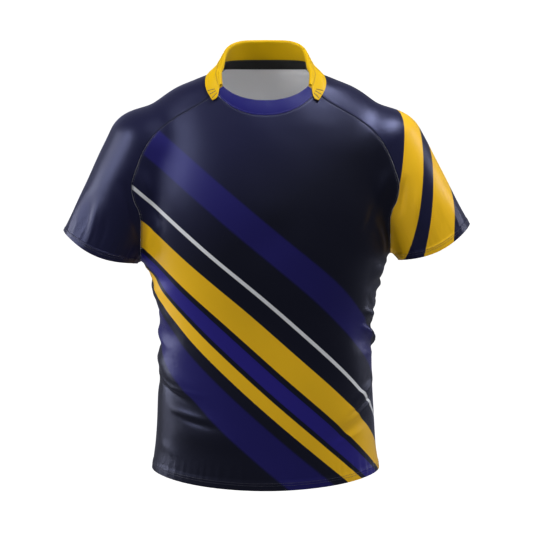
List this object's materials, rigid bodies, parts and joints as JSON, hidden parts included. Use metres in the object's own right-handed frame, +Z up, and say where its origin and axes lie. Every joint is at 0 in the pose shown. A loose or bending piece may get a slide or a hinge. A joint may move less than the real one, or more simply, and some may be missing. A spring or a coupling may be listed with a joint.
{
  "type": "rugby shirt",
  "caption": "Short-sleeved rugby shirt in worn form: raglan sleeves, fold-over collar with a band across the front of the neck, open neck, hem and cuffs, hollow inside.",
  "frame": {"origin": "midway between the shoulders, at the height where the cloth rests on them", "axes": "+X to the wearer's left, +Y to the back, +Z up"},
  "size_m": [0.685, 0.243, 0.7443],
  "materials": {
    "body_jersey": "printed polyester jersey, soft satin sheen",
    "sleeve_jersey": "printed polyester jersey, soft satin sheen",
    "collar_rib": "close knit, soft satin",
    "band_jersey": "jersey, soft satin sheen",
    "neck_tape": "matt twill tape"
  },
  "bodies": {
    "root": {"front": "body_jersey", "back": "body_jersey", "sleeve_left": "sleeve_jersey", "sleeve_right": "sleeve_jersey", "collar": "collar_rib", "neck_band": "band_jersey", "neck_tape": "neck_tape"}
  },
  "joints": []
}
